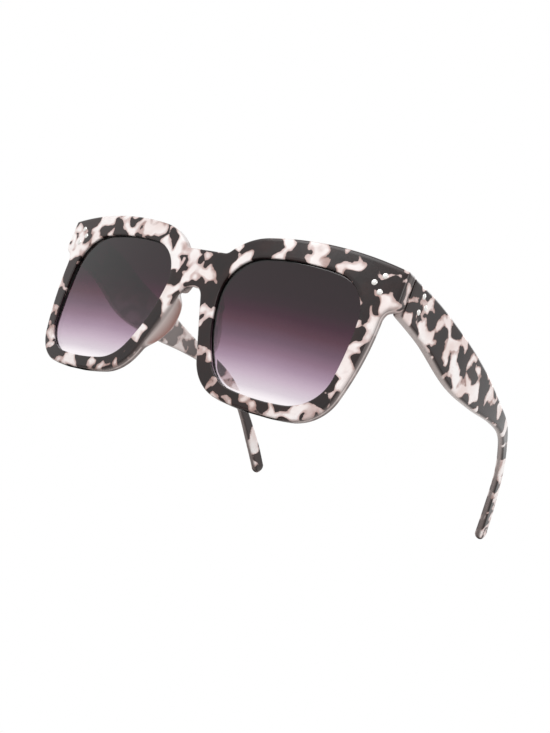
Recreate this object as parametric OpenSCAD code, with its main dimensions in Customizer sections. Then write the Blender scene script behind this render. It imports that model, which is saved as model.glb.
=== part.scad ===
// Oversized square sunglasses: a thick moulded front with deep brow, two graded lenses,
// riveted three-knuckle hinges and wide temples that narrow to a bent ear tip.
// X runs across the face (the wearer's left is +X), the front faces -Y and +Z is up.
// The glasses stand on the flats under the rims and on the two temple tips, at z = 0.

/* [Front] */
// Width of a lens opening
lens_w = 51.4; // [48:0.1:56]
// Height of a lens opening
lens_h = 46.8; // [43:0.1:50]
// Distance between the two lens openings, over the nose
lens_apart = 23.8; // [21:0.1:26]
// Reach of an end piece beyond its lens opening, sideways
end_reach = 10.4; // [9:0.1:12]
// Rim width above the lens opening
rim_top = 7.8; // [6:0.1:10]
// Rim width below the lens opening
rim_bottom = 4.1; // [3.5:0.1:6]
// Rim width beside the lens opening, on the temple side
rim_side = 5.7; // [5:0.1:7]
// Rim width beside the lens opening, on the nose side, before the nose gap is cut
rim_nose = 7.9; // [7:0.1:9]
// Thickness of the rims, front to back
rim_t = 4; // [3.6:0.1:5]
// Radius of the curve that the front bends to, seen from above
front_curve_r = 348; // [250:1:500]
// Width of the flats that the rims stand on
foot_w = 8; // [4:0.5:12]

/* [Rim corners] */
// Corner radius of the lens opening, temple side
lens_outer_r = 14.2; // [11:0.1:16]
// Corner radius of the lens opening, nose side
lens_nose_r = 14.4; // [11:0.1:16]
// Corner radius of the rim's lower corner, temple side
rim_low_r = 14.9; // [12:0.1:18]
// Corner radius of the rim's lower corner, nose side
rim_nose_low_r = 17; // [14:0.1:20]
// Corner radius of the rim's upper corner, temple side, inside the end piece
rim_high_r = 10.1; // [8:0.1:12]
// Corner radius of the rim's upper corner, nose side
rim_brow_r = 22; // [18:0.1:26]

/* [Bridge and nose] */
// Height of the bridge's top edge below the top of the rims
bridge_drop = 9.4; // [7:0.1:12]
// Depth of the bridge, from its top edge down to the crown of the nose arch
bridge_h = 13.1; // [10:0.1:16]
// Radius of the nose arch
arch_r = 4.9; // [4:0.1:6]
// Radius of the hollow where the bridge meets each brow
brow_fillet_r = 3; // [1:0.1:5]
// Width of a moulded nose pad, across the rim
pad_w = 4.6; // [4:0.1:5.5]
// Reach of a nose pad behind the rim
pad_reach = 5; // [3:0.1:6]
// Height of a nose pad, where it leaves the rim
pad_h = 20; // [15:0.5:24]
// Depth of the middle of a nose pad below the middle of the lens opening
pad_drop = 5; // [2:0.5:7]
// Turn by which a nose pad rises towards its lens, in degrees
pad_lean = 30; // [0:1:35]

/* [End pieces] */
// Thickness of an end piece at its outer corner
end_t = 5; // [4.5:0.1:6]
// Depth of the end piece's lower corner below the top of the rims, where its side starts to turn in
end_drop = 13.2; // [12:0.1:14]
// Radius of the end piece's lower corner
end_corner_r = 3; // [2:0.1:4]
// Radius of the hollow between the end piece's lower corner and the rim's side
end_hollow_r = 5; // [3.5:0.1:7]
// Width of the thick block behind an end piece, where the hinge is fixed
end_block_w = 12.5; // [12:0.1:14]

/* [Lenses] */
// Lens thickness
lens_t = 2; // [1.6:0.1:2.2]
// Set-back of the lens behind the front face
lens_set = 1.2; // [0.8:0.1:1.4]
// Depth of the groove that holds the lens
groove_depth = 1; // [0.6:0.1:1.4]

/* [Temples] */
// Reach of a temple behind the end piece
temple_l = 138.5; // [128:0.5:145]
// Height of a temple at the hinge
temple_h = 13.4; // [12:0.1:14]
// Depth of the middle of the temple below the top of the rims, at the hinge
temple_drop = 10.1; // [9.5:0.1:11]
// Thickness of a temple at the hinge
temple_t = 4.2; // [3.8:0.1:5]
// Distance that the temple bows out beyond the end piece
temple_bow = 3.1; // [0:0.1:5]
// Distance that the ear tip tucks in towards the head, from the end piece's width
temple_tuck = 14.7; // [5:0.1:20]
// Width of the ear tip at its end
tip_w = 6; // [4:0.1:7]
// Rounding of the temple's long edges
temple_edge_r = 1.2; // [0.8:0.1:1.5]
// Joint gap between temple and end piece
temple_gap = 0.15; // [0.1:0.05:0.3]

/* [Hinges] */
// Height of the middle of the hinge above the middle of the temple
hinge_lift = 0.8; // [0:0.1:1.2]
// Height of the hinge
hinge_h = 9; // [7:0.5:10]
// Outer radius of the knuckles
knuckle_r = 1.5; // [1.4:0.05:1.7]
// Thickness of the hinge leaves
leaf_t = 1; // [0.8:0.05:1.2]
// Length of the leaf on the end piece
front_leaf_l = 8; // [7.6:0.1:8.4]
// Length of the leaf on the temple
temple_leaf_l = 12; // [11.5:0.1:14]
// Radius of the hinge screw's shank
screw_r = 0.7; // [0.6:0.01:0.8]
// Radius of the hinge screw's head
screw_head_r = 1.25; // [1.1:0.05:1.4]
// Height of the hinge screw's head
screw_head_h = 0.7; // [0.5:0.05:0.9]
// Radius of the rivet pins
rivet_r = 1; // [0.8:0.05:1.1]
// Distance from the end piece's outer side to its outer two rivets
front_rivet_in = 7; // [6.5:0.1:7.5]
// Distance from the temple's front end to its first two rivets
temple_rivet_in = 6.6; // [6:0.1:8]
// Height between the outer two of the three rivets
rivet_span = 5.4; // [5:0.1:6]
// Sideways step from the outer two rivets to the middle one
rivet_step = 2.7; // [2.4:0.1:3]

/* [Hidden] */

// Colours of the moulded plastic, the lens and the metal
shell_colour = [0.87, 0.82, 0.80];
lens_colour = [0.36, 0.27, 0.34, 0.75];
metal_colour = [0.80, 0.80, 0.82];

// Clearances
running_gap = 0.05;   // screw in its knuckles, radial
knuckle_gap = 0.1;    // between neighbouring knuckles
barrel_gap = 0.2;     // knuckles to the plastic round them
rivet_gap = 0.03;     // rivet pins in the plastic, radial
lens_gap = 0.05;      // lens to its groove
overrun = 5;          // how far cutting shapes run past what they cut

// Finenesses of the circles, and the steps along each curve of an outline
fine = 96;
finer = 360;
arc_steps = 12;

// Side curves of each outline, as shares of its width: temple side, top, nose side, bottom
lens_side_shares = [2, 1.9, 1, 1.48];
rim_side_shares = [1.54, 2.1, 1.78, 1.46];
lens_side_r = lens_side_shares * lens_w;
rim_side_r = rim_side_shares * (rim_side + lens_w + rim_nose);

// Corner centres round each outline, as shares of its width and height from its middle:
// lower temple side, upper temple side, upper nose side, lower nose side
lens_corner_shares = [[0.200, -0.184], [0.220, 0.184], [-0.228, 0.175], [-0.117, -0.172]];
rim_corner_shares = [[0.215, -0.237], [0.340, 0.312], [-0.162, 0.102], [-0.119, -0.194]];
lens_corner_r = [lens_outer_r, lens_outer_r, lens_nose_r, lens_nose_r];
rim_corner_r = [rim_low_r, rim_high_r, rim_brow_r, rim_nose_low_r];

// Heights and widths that follow from the driving sizes
front_h = rim_bottom + lens_h + rim_top;
eye_gap = lens_w + lens_apart;
rim_w = rim_side + lens_w + rim_nose;
rim_x = eye_gap / 2 + (rim_side - rim_nose) / 2;
lens_z = rim_bottom + lens_h / 2;
pad_z = lens_z - pad_drop;
end_low_z = front_h - end_drop;
temple_z = front_h - temple_drop;
hinge_z = temple_z + hinge_lift;
lens_corners = [for (s = lens_corner_shares) [eye_gap / 2 + s[0] * lens_w, lens_z + s[1] * lens_h]];

// The rim's outline is set so that its lowest curve is cut to flats of the asked width at z = 0
rim_unset = [for (s = rim_corner_shares) [rim_x + s[0] * rim_w, s[1] * front_h]];
rim_low_curve = side_centre(rim_unset, rim_corner_r, rim_side_r, 3);
rim_lift = sqrt(pow(rim_side_r[3], 2) - pow(foot_w / 2, 2)) - rim_low_curve[1];
rim_corners = [for (c = rim_unset) [c[0], c[1] + rim_lift]];
rim_sides = [for (i = [0:3]) side_centre(rim_corners, rim_corner_r, rim_side_r, i)];
bridge_z = front_h - bridge_drop;
arch_centre = [0, bridge_z - bridge_h - arch_r];

// The side of the nose gap is the straight line that touches the arch and the rim's lower corner
nose_line = rim_corners[3] - arch_centre;
nose_lean = atan2(nose_line[1], nose_line[0]) - asin((arch_r + rim_nose_low_r) / norm(nose_line)) + 90;

// Places along the glasses: the front face, the seam behind the end pieces and the hinge axis
end_x = (eye_gap + lens_w) / 2 + end_reach;
end_sag = front_curve_r - sqrt(pow(front_curve_r, 2) - pow(end_x, 2));
front_y = -(end_sag + end_t + temple_gap + temple_l) / 2;
seam_y = front_y + end_sag + end_t;
temple_y = seam_y + temple_gap;
temple_in_x = end_x - temple_t;
pivot_x = temple_in_x - barrel_gap - knuckle_r;
pivot_y = seam_y + barrel_gap + knuckle_r;
knuckle_h = (hinge_h - 2 * knuckle_gap) / 3;
hinge_low_z = hinge_z - hinge_h / 2;
rivet_places = [[0, -rivet_span / 2], [rivet_step, 0], [0, rivet_span / 2]];
rivet_bite = leaf_t / 2;
rivet_proud = rivet_r / 4;
temple_leaf_y = temple_y + barrel_gap;

// Shares of a temple: its edges' rounding at most, and the tip's thickness at its end and its start
edge_round_share = 0.45;
tip_end_share = 0.4;
tip_start_share = 0.77;

// Stations along a temple, as shares: reach, height of its middle, height, bow, tuck, thickness
temple_shares = [
    [0,     1,     1,    0,    0,     1],
    [0.130, 0.960, 1.14, 0.38, 0,     0.96],
    [0.275, 0.857, 1.32, 1.02, 0,     0.85],
    [0.419, 0.815, 1.09, 1,    0,     0.82],
    [0.564, 0.784, 0.64, 0.59, 0,     0.73],
    [0.672, 0.754, 0.45, 0,    0.034, 0.67],
    [0.769, 0.674, 0.36, 0,    0.292, 0.64],
    [0.852, 0.507, 0.36, 0,    0.524, 0.63],
    [0.935, 0.233, 0.47, 0,    0.827, 0.69]];
// The same stations as real places: y, z, height, outer side x, thickness. The last is the tip.
temple_stations = concat(
    [for (s = temple_shares) [
        temple_y + s[0] * temple_l, s[1] * temple_z, s[2] * temple_h,
        end_x + s[3] * temple_bow - s[4] * temple_tuck, s[5] * temple_t]],
    [[temple_y + temple_l - tip_w / 2, tip_w / 2, tip_w, end_x - temple_tuck, tip_start_share * temple_t]]);
last_station = len(temple_stations) - 1;
rings_per_station = 6;
tip_rings = 9;
corner_steps = 3;
slope_step = 0.05;

function unit(v) = v / norm(v);

// Point at distance ra from a and rb from b, on the left of the line from a to b
function meet(a, ra, b, rb) =
    let (d = norm(b - a), u = (b - a) / d, along = (ra * ra - rb * rb + d * d) / (2 * d))
    a + along * u + sqrt(ra * ra - along * along) * [-u[1], u[0]];

// Centre of the side curve that runs from corner circle i to the next and touches both
function side_centre(corners, corner_r, side_r, i) =
    let (j = (i + 1) % len(corners))
    meet(corners[i], side_r[i] - corner_r[i], corners[j], side_r[i] - corner_r[j]);

// Direction of a point from another, in degrees, and a step in a direction
function direction(from, to) = atan2(to[1] - from[1], to[0] - from[0]);
function polar(r, turn) = r * [cos(turn), sin(turn)];

// Points along an arc from one direction to another, without the point at its end
function arc(centre, r, from, to) =
    [for (k = [0:arc_steps - 1]) centre + polar(r, from + (to - from) * k / arc_steps)];

// The first turn past another, going anticlockwise
function past(turn, start) = turn < start ? past(turn + 360, start) : turn;

// Points round an outline of corner curves and side curves that touch, grown all round
function loop_points(corners, corner_r, side_r, grow = 0) =
    [for (i = [0:len(corners) - 1])
        let (j = (i + 1) % len(corners),
             side = side_centre(corners, corner_r, side_r, i),
             next_side = side_centre(corners, corner_r, side_r, j),
             from = direction(side, corners[i]),
             to = past(direction(side, corners[j]), from),
             turned = past(direction(next_side, corners[j]), to))
        each concat(arc(side, side_r[i] + grow, from, to),
                    arc(corners[j], corner_r[j] + grow, to, turned))];

// The left half of the front's outline, from the bridge round the brow to the nose arch
function half_outline() =
    let (brow = rim_corners[2],
         fillet = [brow[0] - sqrt(pow(rim_brow_r + brow_fillet_r, 2)
                                  - pow(bridge_z + brow_fillet_r - brow[1], 2)),
                   bridge_z + brow_fillet_r],
         side = rim_sides[0], top = rim_sides[1], bottom = rim_sides[3],
         brow_turn = direction(top, brow),
         corner = [end_x - end_corner_r, end_low_z],
         hollow = meet(corner, end_corner_r + end_hollow_r, side, rim_side_r[0] + end_hollow_r))
    concat(
        arc(fillet, brow_fillet_r, -90, direction(fillet, brow)),
        arc(brow, rim_brow_r, direction(brow, fillet), brow_turn),
        arc(top, rim_side_r[1], brow_turn, acos((end_x - top[0]) / rim_side_r[1])),
        [[end_x, top[1] + sqrt(pow(rim_side_r[1], 2) - pow(end_x - top[0], 2))]],
        arc(corner, end_corner_r, 0, direction(corner, hollow)),
        arc(hollow, end_hollow_r, direction(hollow, corner), 180 + direction(side, hollow)),
        arc(side, rim_side_r[0], direction(side, hollow), direction(side, rim_corners[0])),
        arc(rim_corners[0], rim_low_r, direction(side, rim_corners[0]),
            direction(bottom, rim_corners[0])),
        arc(bottom, rim_side_r[3], direction(bottom, rim_corners[0]),
            direction(bottom, rim_corners[3])),
        arc(rim_corners[3], rim_nose_low_r, direction(bottom, rim_corners[3]), nose_lean - 180),
        arc(arch_centre, arch_r, nose_lean, 90));

// Depth of the front face at a distance x from the middle
function face_y(x) = front_y + front_curve_r - sqrt(pow(front_curve_r, 2) - x * x);

// Smooth curve through a list of rows, at a place counted in rows from its start
function row_at(rows, place) =
    let (last = len(rows) - 1, i = min(floor(place), last - 1), t = place - i,
         a = rows[max(i - 1, 0)], b = rows[i], c = rows[i + 1], d = rows[min(i + 2, last)])
    b + t / 2 * (c - a + t * (2 * a - 5 * b + 4 * c - d + t * (3 * (b - c) + d - a)));

// Slope of a temple's middle line at a place, flat at the hinge so that the end butts square
function slope_at(place) =
    let (p = row_at(temple_stations, max(place - slope_step, 0)),
         q = row_at(temple_stations, min(place + slope_step, last_station)))
    atan2(q[1] - p[1], q[0] - p[0]) * min(place, 1);

// One rounded ring of a temple's skin, round a middle point, square to a slope
function temple_ring(y, z, h, x_out, t, slope) =
    let (r = min(temple_edge_r, edge_round_share * h, edge_round_share * t))
    [for (corner = [[1, -1, -90], [1, 1, 0], [-1, 1, 90], [-1, -1, 180]], k = [0:corner_steps])
        let (turn = corner[2] + 90 * k / corner_steps,
             across = corner[0] * (t / 2 - r) + r * cos(turn),
             up = corner[1] * (h / 2 - r) + r * sin(turn))
        [x_out - t / 2 + across, y - up * sin(slope), z + up * cos(slope)]];

// Rings along a temple, then rings that round off its tip
function temple_rings() =
    let (tip = temple_stations[last_station], tip_slope = slope_at(last_station))
    concat(
        [for (k = [0:last_station * rings_per_station])
            let (place = k / rings_per_station, s = row_at(temple_stations, place))
            temple_ring(s[0], s[1], s[2], s[3], s[4], slope_at(place))],
        [for (k = [1:tip_rings - 1])
            let (turn = 90 * k / tip_rings, reach = tip_w / 2 * sin(turn),
                 thin = tip_end_share + (1 - tip_end_share) * cos(turn))
            temple_ring(tip[0] + reach * cos(tip_slope), tip[1] + reach * sin(tip_slope),
                        tip_w * cos(turn), tip[3] - tip[4] * (1 - thin) / 2, tip[4] * thin, tip_slope)]);

// Outer side of a temple at a distance behind its front end
function temple_out_x(along) =
    lookup(temple_y + along, [for (k = [0:last_station * rings_per_station])
        let (s = row_at(temple_stations, k / rings_per_station)) [s[0], s[3]]]);

module lens_outline(grow = 0) {
    polygon(loop_points(lens_corners, lens_corner_r, lens_side_r, grow));
}

// The whole front as seen from the front, with no lens openings
module front_outline() {
    half = half_outline();
    polygon(concat(half, [arch_centre + [0, arch_r]],
                   [for (i = [len(half) - 1:-1:0]) [-half[i][0], half[i][1]]]));
}

// Draws a flat outline, x across and z up, as a block between two depths
module through(y0, y1) {
    translate([0, y1, 0]) rotate([90, 0, 0]) linear_extrude(y1 - y0) children();
}

// The space between two depths behind the curved front face
module curved_layer(front_set, back_set) {
    translate([0, front_y + front_curve_r, -overrun])
        difference() {
            cylinder(r = front_curve_r - front_set, h = front_h + 2 * overrun, $fn = finer);
            translate([0, 0, -overrun])
                cylinder(r = front_curve_r - back_set, h = front_h + 4 * overrun, $fn = finer);
        }
}

// Moulded nose pad: a strip along the nose gap, whose back edge is one long curve
module nose_pad() {
    seat_y = front_y + rim_t;
    curve_r = (pow(pad_h / 2, 2) + pow(pad_reach, 2)) / (2 * pad_reach);
    touch = arch_centre + polar(arch_r, nose_lean);
    edge_x = touch[0] + (touch[1] - pad_z) * tan(nose_lean);
    intersection() {
        through(seat_y - rim_t / 2, seat_y + pad_reach + overrun)
            polygon(concat(
                [touch + polar(pad_w, nose_lean)],
                arc(rim_corners[3], rim_nose_low_r - pad_w, nose_lean - 180, -90),
                arc(rim_corners[3], rim_nose_low_r + arch_r / 2, -90, nose_lean - 180),
                [touch - polar(arch_r / 2, nose_lean)]));
        translate([edge_x, seat_y + pad_reach - curve_r, pad_z])
            rotate([0, 90 - pad_lean, 0]) cylinder(r = curve_r, h = 2 * rim_w, center = true, $fn = finer);
    }
}

// Thick block behind an end piece, which carries the hinge and meets the temple
module end_block() {
    block_x = end_x - end_block_w;
    slope_x = block_x - end_t;
    translate([0, 0, temple_z - temple_h / 2])
        linear_extrude(front_h)
            polygon([[slope_x, face_y(slope_x) + rim_t / 2], [end_x + overrun, face_y(end_x) + rim_t / 2],
                     [end_x + overrun, seam_y], [block_x, seam_y]]);
}

// Round pins through the end piece, and through the temple, at the left hinge
module front_pins(r) {
    for (p = rivet_places) {
        pin_x = end_x - front_rivet_in - p[0];
        pin_y = face_y(pin_x) - rivet_proud;
        translate([pin_x, pin_y, hinge_z + p[1]])
            rotate([-90, 0, 0])
                cylinder(r = r, h = seam_y - leaf_t + rivet_bite - pin_y, $fn = fine);
    }
}

module temple_pins(r) {
    for (p = rivet_places) {
        along = temple_rivet_in + p[0];
        low_x = temple_in_x + leaf_t - rivet_bite;
        translate([low_x, temple_y + along, hinge_z + p[1]])
            rotate([0, 90, 0])
                cylinder(r = r, h = temple_out_x(along) + rivet_proud - low_x, $fn = fine);
    }
}

// Flat leaf of a hinge, made bigger all round to cut its pocket
module front_leaf(grow = 0) {
    translate([pivot_x + knuckle_r - front_leaf_l - grow, seam_y - leaf_t, hinge_low_z - grow])
        cube([front_leaf_l + 2 * grow, leaf_t + (grow > 0 ? overrun : 0), hinge_h + 2 * grow]);
}

module temple_leaf(grow = 0) {
    pocket = grow > 0 ? overrun : 0;
    translate([temple_in_x - pocket, temple_leaf_y - grow, hinge_low_z - grow])
        cube([leaf_t + pocket, temple_leaf_l + 2 * grow, hinge_h + 2 * grow]);
}

// One knuckle on the hinge axis, counted from the lowest, with a web to its leaf
module knuckle(k, web_low, web_size) {
    low_z = hinge_low_z + k * (knuckle_h + knuckle_gap);
    translate([pivot_x, pivot_y, low_z]) cylinder(r = knuckle_r, h = knuckle_h, $fn = fine);
    translate([web_low[0], web_low[1], low_z]) cube([web_size[0], web_size[1], knuckle_h]);
}

module screw_bore() {
    translate([pivot_x, pivot_y, hinge_low_z - overrun])
        cylinder(r = screw_r + running_gap, h = hinge_h + 2 * overrun, $fn = fine);
}

// Cuts for the lens, its groove, the hinge leaf and the rivets on the left half
module left_cuts() {
    through(front_y - overrun, seam_y + 3 * overrun) lens_outline();
    intersection() {
        curved_layer(lens_set - lens_gap, lens_set + lens_t + lens_gap);
        through(front_y - overrun, seam_y + overrun) lens_outline(groove_depth);
    }
    front_leaf(running_gap);
    front_pins(rivet_r + rivet_gap);
}

module front_frame() {
    color(shell_colour)
        difference() {
            intersection() {
                through(front_y - overrun, seam_y + 3 * overrun) front_outline();
                union() {
                    curved_layer(0, rim_t);
                    for (turned = [0, 1]) mirror([turned, 0, 0]) {
                        end_block();
                        nose_pad();
                    }
                }
                translate([-2 * end_x, front_y - overrun, 0]) cube([4 * end_x, temple_l, 2 * front_h]);
            }
            left_cuts();
            mirror([1, 0, 0]) left_cuts();
        }
}

module lens() {
    color(lens_colour)
        intersection() {
            curved_layer(lens_set, lens_set + lens_t);
            through(front_y - overrun, seam_y + overrun) lens_outline(groove_depth - lens_gap);
        }
}

module front_hinge() {
    color(metal_colour)
        difference() {
            union() {
                front_leaf();
                for (k = [0, 2])
                    knuckle(k, [pivot_x - knuckle_r, seam_y - leaf_t],
                            [2 * knuckle_r, leaf_t + barrel_gap + knuckle_r]);
            }
            screw_bore();
            front_pins(rivet_r + rivet_gap);
        }
}

module temple_hinge() {
    color(metal_colour)
        difference() {
            union() {
                temple_leaf();
                knuckle(1, [pivot_x, temple_leaf_y],
                        [knuckle_r + barrel_gap + leaf_t, pivot_y + knuckle_r - temple_leaf_y]);
            }
            screw_bore();
            temple_pins(rivet_r + rivet_gap);
        }
}

module hinge_screw() {
    slot_w = screw_head_r / 4;
    head_z = hinge_low_z + hinge_h;
    color(metal_colour)
        difference() {
            translate([pivot_x, pivot_y, 0]) {
                translate([0, 0, hinge_low_z]) cylinder(r = screw_r, h = hinge_h + screw_head_h / 2, $fn = fine);
                translate([0, 0, head_z]) cylinder(r = screw_head_r, h = screw_head_h, $fn = fine);
            }
            translate([pivot_x - overrun, pivot_y - slot_w / 2, head_z + screw_head_h / 2])
                cube([2 * overrun, slot_w, overrun]);
        }
}

module front_rivets() {
    color(metal_colour) front_pins(rivet_r);
}

module temple_rivets() {
    color(metal_colour) temple_pins(rivet_r);
}

module temple() {
    rings = temple_rings();
    n = len(rings[0]);
    last = len(rings) - 1;
    color(shell_colour)
        difference() {
            polyhedron(
                points = [for (ring = rings) each ring],
                faces = concat(
                    [[for (i = [0:n - 1]) i]],
                    [for (k = [0:last - 1], i = [0:n - 1]) let (j = (i + 1) % n)
                        each [[k * n + i, (k + 1) * n + i, k * n + j],
                              [k * n + j, (k + 1) * n + i, (k + 1) * n + j]]],
                    [[for (i = [n - 1:-1:0]) last * n + i]]));
            temple_leaf(running_gap);
            temple_pins(rivet_r + rivet_gap);
        }
}

front_frame();
lens();  // left_lens
mirror([1, 0, 0]) lens();  // right_lens
front_hinge();  // left_front_hinge
mirror([1, 0, 0]) front_hinge();  // right_front_hinge
temple_hinge();  // left_temple_hinge
mirror([1, 0, 0]) temple_hinge();  // right_temple_hinge
hinge_screw();  // left_hinge_screw
mirror([1, 0, 0]) hinge_screw();  // right_hinge_screw
front_rivets();  // left_front_rivets
mirror([1, 0, 0]) front_rivets();  // right_front_rivets
temple_rivets();  // left_temple_rivets
mirror([1, 0, 0]) temple_rivets();  // right_temple_rivets
temple();  // left_temple
mirror([1, 0, 0]) temple();  // right_temple
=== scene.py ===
"""Looks for a pair of oversized square sunglasses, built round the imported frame.

X runs across the face (the wearer's left is +X), Y from the front towards the ears, Z up.
Sizes are in millimetres here, and turn to metres where a mesh is made.
"""

import math

import bmesh
import bpy
import numpy as np
from mathutils import Matrix, Vector


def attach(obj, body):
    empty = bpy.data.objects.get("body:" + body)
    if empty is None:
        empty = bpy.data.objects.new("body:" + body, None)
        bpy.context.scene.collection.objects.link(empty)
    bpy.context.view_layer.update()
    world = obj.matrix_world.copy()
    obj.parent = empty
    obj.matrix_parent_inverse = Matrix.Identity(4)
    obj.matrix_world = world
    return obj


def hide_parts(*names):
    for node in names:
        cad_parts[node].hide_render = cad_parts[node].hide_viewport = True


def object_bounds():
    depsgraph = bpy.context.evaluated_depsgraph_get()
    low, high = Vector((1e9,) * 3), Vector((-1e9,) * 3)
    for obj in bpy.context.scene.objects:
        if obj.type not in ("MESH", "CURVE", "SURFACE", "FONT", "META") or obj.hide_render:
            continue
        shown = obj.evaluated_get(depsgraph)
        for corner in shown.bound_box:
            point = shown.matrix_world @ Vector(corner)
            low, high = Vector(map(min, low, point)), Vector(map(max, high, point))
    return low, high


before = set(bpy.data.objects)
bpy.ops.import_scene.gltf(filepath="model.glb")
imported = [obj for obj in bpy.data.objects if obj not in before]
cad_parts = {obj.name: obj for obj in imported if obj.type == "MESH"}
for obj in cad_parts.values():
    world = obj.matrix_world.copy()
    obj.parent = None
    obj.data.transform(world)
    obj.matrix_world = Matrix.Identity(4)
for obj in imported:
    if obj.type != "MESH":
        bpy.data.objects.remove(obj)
cad_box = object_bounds()

MM = 0.001

# The front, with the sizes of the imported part
LENS_W, LENS_H, LENS_APART = 51.4, 46.8, 23.8
RIM_TOP, RIM_BOTTOM, RIM_SIDE, RIM_NOSE, RIM_T = 7.8, 4.1, 5.7, 7.9, 4.0
CURVE_R = 348.0
FOOT_W = 8.0
LENS_CORNER_R = [14.2, 14.2, 14.4, 14.4]
RIM_CORNER_R = [14.9, 10.1, 22.0, 17.0]
BRIDGE_DROP, BRIDGE_H, ARCH_R, BROW_HOLLOW_R = 9.4, 13.1, 4.9, 3.0
PAD_REACH, PAD_H, PAD_DROP = 5.0, 20.0, 5.0
END_REACH, END_T, END_DROP, END_CORNER_R, END_HOLLOW_R, END_BLOCK_W = 10.4, 5.0, 13.2, 3.0, 5.0, 12.5
LENS_T, LENS_SET, GROOVE, LENS_GAP = 2.0, 1.2, 1.0, 0.05

# The temples and hinges
TEMPLE_L, TEMPLE_H, TEMPLE_DROP, TEMPLE_T = 138.5, 13.4, 10.1, 4.2
TEMPLE_BOW, TEMPLE_TUCK, TIP_W, TEMPLE_EDGE_R, TEMPLE_GAP = 3.1, 14.7, 6.0, 1.2, 0.15
HINGE_LIFT, LEAF_T = 0.8, 1.0
RIVET_R, FRONT_RIVET_IN, TEMPLE_RIVET_IN, RIVET_SPAN, RIVET_STEP = 1.0, 7.0, 6.6, 5.4, 2.7

# Places that follow from them
EYE_GAP = LENS_W + LENS_APART
FRONT_H = RIM_BOTTOM + LENS_H + RIM_TOP
RIM_W = RIM_SIDE + LENS_W + RIM_NOSE
RIM_X = EYE_GAP / 2 + (RIM_SIDE - RIM_NOSE) / 2
LENS_Z = RIM_BOTTOM + LENS_H / 2
END_X = (EYE_GAP + LENS_W) / 2 + END_REACH
END_SAG = CURVE_R - math.sqrt(CURVE_R**2 - END_X**2)
FRONT_Y = -(END_SAG + END_T + TEMPLE_GAP + TEMPLE_L) / 2
SEAM_Y = FRONT_Y + END_SAG + END_T
TEMPLE_Y = SEAM_Y + TEMPLE_GAP
TEMPLE_Z = FRONT_H - TEMPLE_DROP
HINGE_Z = TEMPLE_Z + HINGE_LIFT
BRIDGE_Z = FRONT_H - BRIDGE_DROP
ARCH = np.array([0.0, BRIDGE_Z - BRIDGE_H - ARCH_R])
BLOCK_X = END_X - END_BLOCK_W

# How far a metal leaf stands out of the plastic round it
LEAF_PROUD = 0.06

# Height of a rivet's dome, and how far its edge stands out of the face
DOME_H, DOME_PROUD = 0.28, 0.05

# Rounded edges: of a lens opening, of the front face, of the back face, of an end piece's upper
# corner, of a lens, of a temple at its joint, and of the hinge parts
LIP_R, FRONT_EDGE_R, BACK_EDGE_R, END_TIP_R, LENS_EDGE_R, JOINT_EDGE_R, HINGE_EDGE_R = (
    0.35, 0.8, 1.3, 0.9, 0.25, 0.3, 0.12)

# Points closer than this are one point
MERGE = 0.0005

# Marks of the plastic: the tone that is a plain grey brown, and how far the pattern fades on a wall
PLAIN_TONE, PLAIN_WALL = 0.5, 0.85


def face_y(x):
    """Depth of the front face: a circle of CURVE_R seen from above."""
    return FRONT_Y + CURVE_R - np.sqrt(CURVE_R**2 - x**2)


def smooth(a, b, t):
    """0 up to a, 1 from b, and 3u^2 - 2u^3 between."""
    u = np.clip((t - a) / (b - a), 0, 1)
    return u * u * (3 - 2 * u)


# Outlines, in the plane of X and Z


def meet(a, ra, b, rb):
    """Point at distance ra from a and rb from b, left of the line from a to b."""
    d = np.linalg.norm(b - a)
    u = (b - a) / d
    along = (ra * ra - rb * rb + d * d) / (2 * d)
    return a + along * u + math.sqrt(ra * ra - along * along) * np.array([-u[1], u[0]])


def direction(start, end):
    """Angle of one point from another, in degrees."""
    return math.degrees(math.atan2(end[1] - start[1], end[0] - start[0]))


def arc(centre, r, start, end, spacing=0.12):
    """Points on a circle between two directions in degrees, without the last."""
    n = max(int(abs(math.radians(end - start)) * r / spacing), 2)
    turn = np.radians(np.linspace(start, end, n, endpoint=False))
    return np.asarray(centre) + r * np.stack([np.cos(turn), np.sin(turn)], -1)


def straight(a, b, spacing=0.12):
    """Points on the line from a to b, without the last."""
    n = max(int(np.linalg.norm(np.subtract(b, a)) / spacing), 2)
    return np.asarray(a) + np.linspace(0, 1, n, endpoint=False)[:, None] * np.subtract(b, a)


def side_centre(corners, corner_r, side_r, i):
    """Centre of the side curve that touches corner circles i and i + 1."""
    j = (i + 1) % len(corners)
    return meet(corners[i], side_r[i] - corner_r[i], corners[j], side_r[i] - corner_r[j])


def past(turn, start):
    """The same direction, at or after start, anticlockwise."""
    while turn < start:
        turn += 360
    return turn


def lens_loop():
    """Lens opening: four corner circles joined by four side curves that touch them, anticlockwise."""
    shares = [[0.200, -0.184], [0.220, 0.184], [-0.228, 0.175], [-0.117, -0.172]]
    corners = [np.array([EYE_GAP / 2 + a * LENS_W, LENS_Z + b * LENS_H]) for a, b in shares]
    side_r = [k * LENS_W for k in (2, 1.9, 1, 1.48)]
    parts = []
    for i in range(4):
        j = (i + 1) % 4
        side = side_centre(corners, LENS_CORNER_R, side_r, i)
        after = side_centre(corners, LENS_CORNER_R, side_r, j)
        start = direction(side, corners[i])
        end = past(direction(side, corners[j]), start)
        parts.append(arc(side, side_r[i], start, end))
        parts.append(arc(corners[j], LENS_CORNER_R[j], end, past(direction(after, corners[j]), end)))
    return np.concatenate(parts)


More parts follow.
